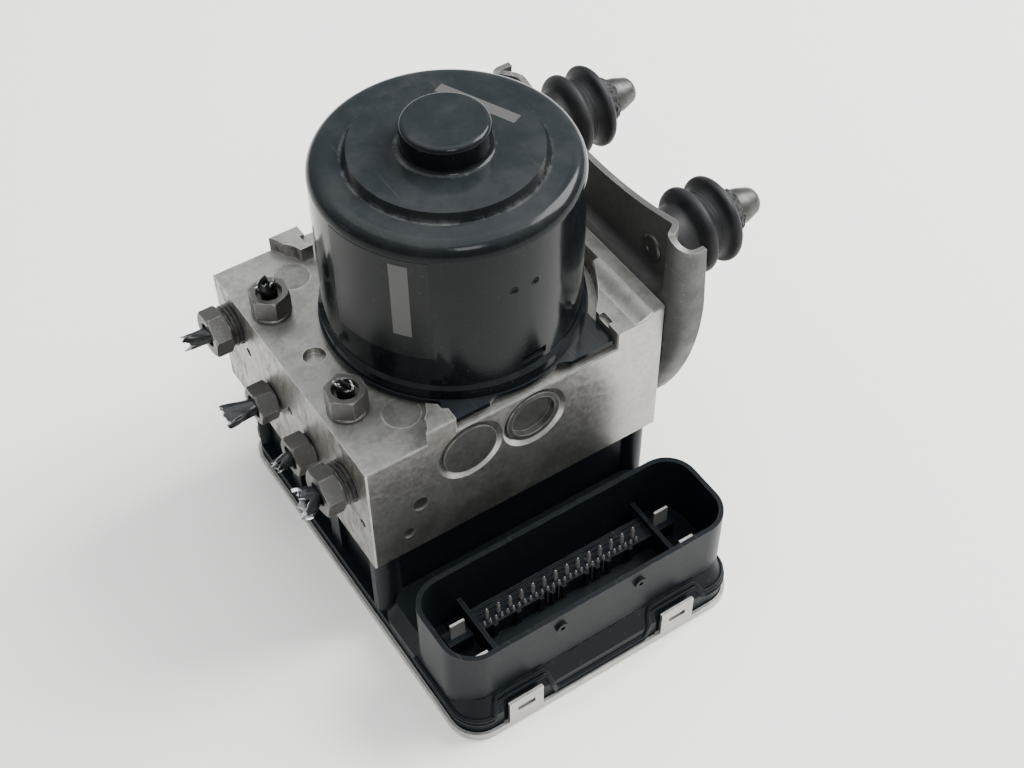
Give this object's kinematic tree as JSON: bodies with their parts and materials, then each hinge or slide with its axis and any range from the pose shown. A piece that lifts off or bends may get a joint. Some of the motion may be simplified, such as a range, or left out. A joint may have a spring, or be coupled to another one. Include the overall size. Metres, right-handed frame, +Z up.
{
  "type": "ABS brake hydraulic module",
  "caption": "Used anti-lock brake module: machined valve block with black pump motor on top, control unit with connector below, torn pipe stubs, and a steel bracket with two rubber mounts.",
  "frame": {"origin": "on the motor axis, in the plane of the cover plate's underside", "axes": "+Z up along the motor axis, +X towards the bracket and rubber mounts, +Y away from the electrical connector"},
  "size_m": [0.16, 0.1446, 0.1488],
  "materials": {
    "bare_aluminium": "milled, unpainted",
    "black_can": "semi-gloss black coating",
    "zinc_steel": "dull zinc plating",
    "sheet_steel": "grey pressed sheet",
    "turned_steel": "fine turned",
    "bearing_steel": "ground",
    "spring_steel": "drawn wire",
    "lamination_steel": "stamped stack",
    "copper": "bare",
    "carbon": "carbon graphite",
    "ferrite": "sintered",
    "black_plastic": "moulded, glass filled",
    "black_rubber": "matte",
    "pale_rubber": "sealing bead",
    "cover_aluminium": "pressed, satin",
    "tinned_contact": "tinned",
    "board_green": "solder mask",
    "chip_black": "epoxy",
    "pipe_coat": "black coated steel pipe"
  },
  "bodies": {
    "module": {"valve_block": "bare_aluminium", "motor_can": "black_can", "motor_end_plate": "zinc_steel", "motor_seal": "pale_rubber", "motor_magnets": "ferrite", "rear_bearing": "bearing_steel", "drive_end_bearing": "bearing_steel", "tail_bearing": "bearing_steel", "brush_holder": "black_plastic", "carbon_brushes": "carbon", "brush_springs": "spring_steel", "front_pump_barrel": "turned_steel", "front_pump_spring": "spring_steel", "front_pump_cap": "bare_aluminium", "rear_pump_barrel": "turned_steel", "rear_pump_spring": "spring_steel", "rear_pump_cap": "bare_aluminium", "damper_caps": "bare_aluminium", "left_accumulator_spring": "spring_steel", "right_accumulator_spring": "spring_steel", "accumulator_caps": "sheet_steel", "valve_cartridges": "turned_steel", "valve_coils": "black_plastic", "coil_terminals": "tinned_contact", "pressure_sensor": "turned_steel", "circuit_board": "board_green", "board_components": "chip_black", "ecu_housing": "black_plastic", "signal_pins": "tinned_contact", "power_blades": "tinned_contact", "ecu_cover_plate": "cover_aluminium", "block_seal": "black_rubber", "unit_screws": "zinc_steel", "bench_plugs": "bare_aluminium", "drilling_plugs": "bearing_steel", "side_pipe_nuts_large": "zinc_steel", "side_pipe_nuts_small": "zinc_steel", "top_pipe_nuts": "zinc_steel", "side_pipe_stub_rear": "pipe_coat", "side_pipe_stub_upper_middle": "pipe_coat", "side_pipe_stub_lower_middle": "pipe_coat", "side_pipe_stub_front": "pipe_coat", "top_pipe_stub_front": "pipe_coat", "top_pipe_stub_rear": "pipe_coat", "mounting_bracket": "sheet_steel", "bracket_screws": "zinc_steel", "rubber_mount_front": "black_rubber", "rubber_mount_rear": "black_rubber", "mount_stud_front": "zinc_steel", "mount_stud_rear": "zinc_steel"},
    "motor_rotor": {"rotor_shaft": "turned_steel", "armature_core": "lamination_steel", "armature_windings": "copper", "commutator": "copper", "eccentric_bearing": "bearing_steel"},
    "front_piston": {"front_pump_piston": "bearing_steel"},
    "rear_piston": {"rear_pump_piston": "bearing_steel"},
    "left_accumulator": {"left_accumulator_piston": "bare_aluminium"},
    "right_accumulator": {"right_accumulator_piston": "bare_aluminium"}
  },
  "joints": [
    {"name": "motor_spin", "type": "hinge", "parent": "module", "child": "motor_rotor", "pos_m": [0, 0, 0.1], "axis": [0, 0, 1], "continuous": true},
    {"name": "front_piston_stroke", "type": "slide", "parent": "module", "child": "front_piston", "axis": [0, -1, 0], "range_m": [0, 0.0024], "stiffness_N_per_m": 200, "deforming": ["front_pump_spring"]},
    {"name": "rear_piston_stroke", "type": "slide", "parent": "module", "child": "rear_piston", "axis": [0, 1, 0], "range_m": [0, 0.0024], "stiffness_N_per_m": 200, "deforming": ["rear_pump_spring"]},
    {"name": "left_accumulator_stroke", "type": "slide", "parent": "module", "child": "left_accumulator", "axis": [0, 0, -1], "range_m": [0, 0.006], "stiffness_N_per_m": 150, "deforming": ["left_accumulator_spring"]},
    {"name": "right_accumulator_stroke", "type": "slide", "parent": "module", "child": "right_accumulator", "axis": [0, 0, -1], "range_m": [0, 0.006], "stiffness_N_per_m": 150, "deforming": ["right_accumulator_spring"]}
  ]
}
